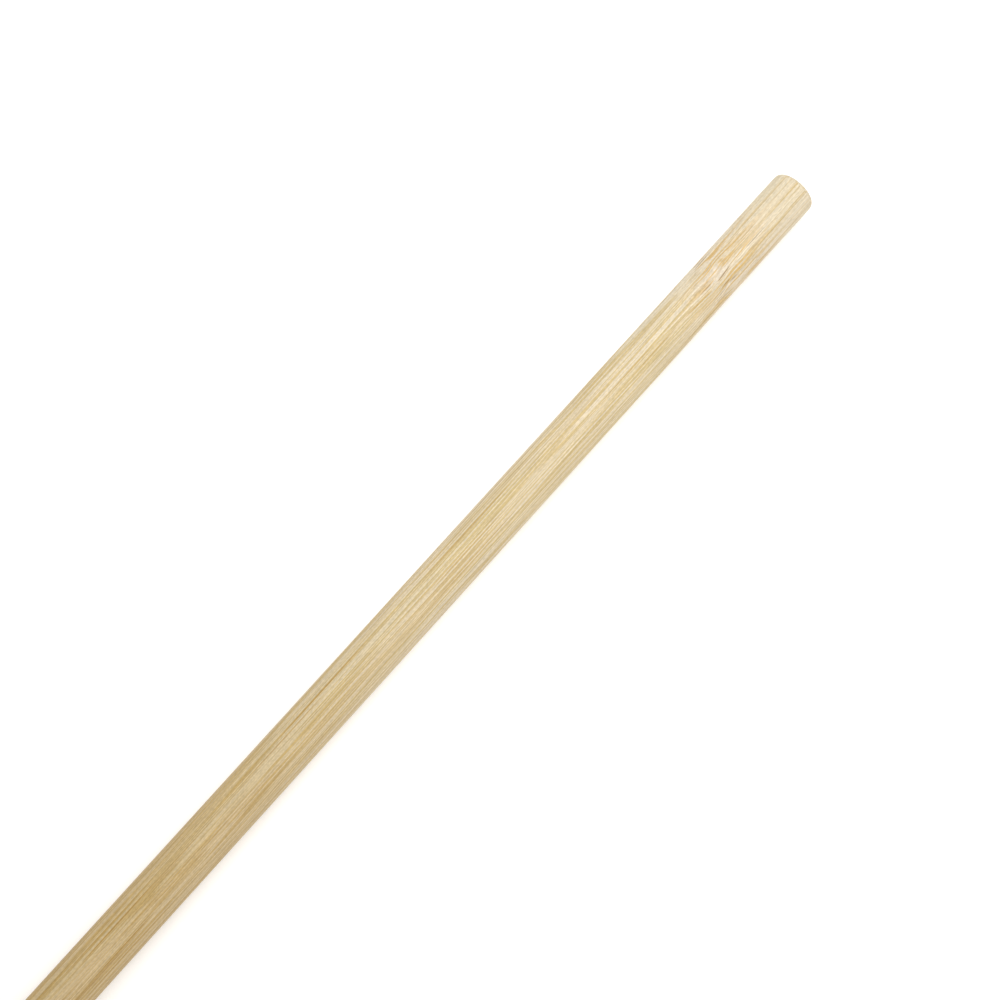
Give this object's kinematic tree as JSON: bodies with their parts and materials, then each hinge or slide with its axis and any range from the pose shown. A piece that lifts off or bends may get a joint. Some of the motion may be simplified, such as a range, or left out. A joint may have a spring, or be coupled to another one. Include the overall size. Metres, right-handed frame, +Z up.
{
  "type": "bamboo cane",
  "caption": "Straight solid bamboo cane, machined round from one strip of culm wall, with sanded edges at its square-sawn ends.",
  "frame": {"origin": "middle of the cane's box, on the surface that it lies on", "axes": "+X along the cane towards the tip, the end that has a culm joint close to it; +Z up"},
  "size_m": [0.3, 0.008, 0.008],
  "materials": {
    "bamboo": "bare sanded bamboo, matte to satin, with fine fibre lines along the cane"
  },
  "bodies": {
    "root": {"bamboo_cane": "bamboo"}
  },
  "joints": []
}
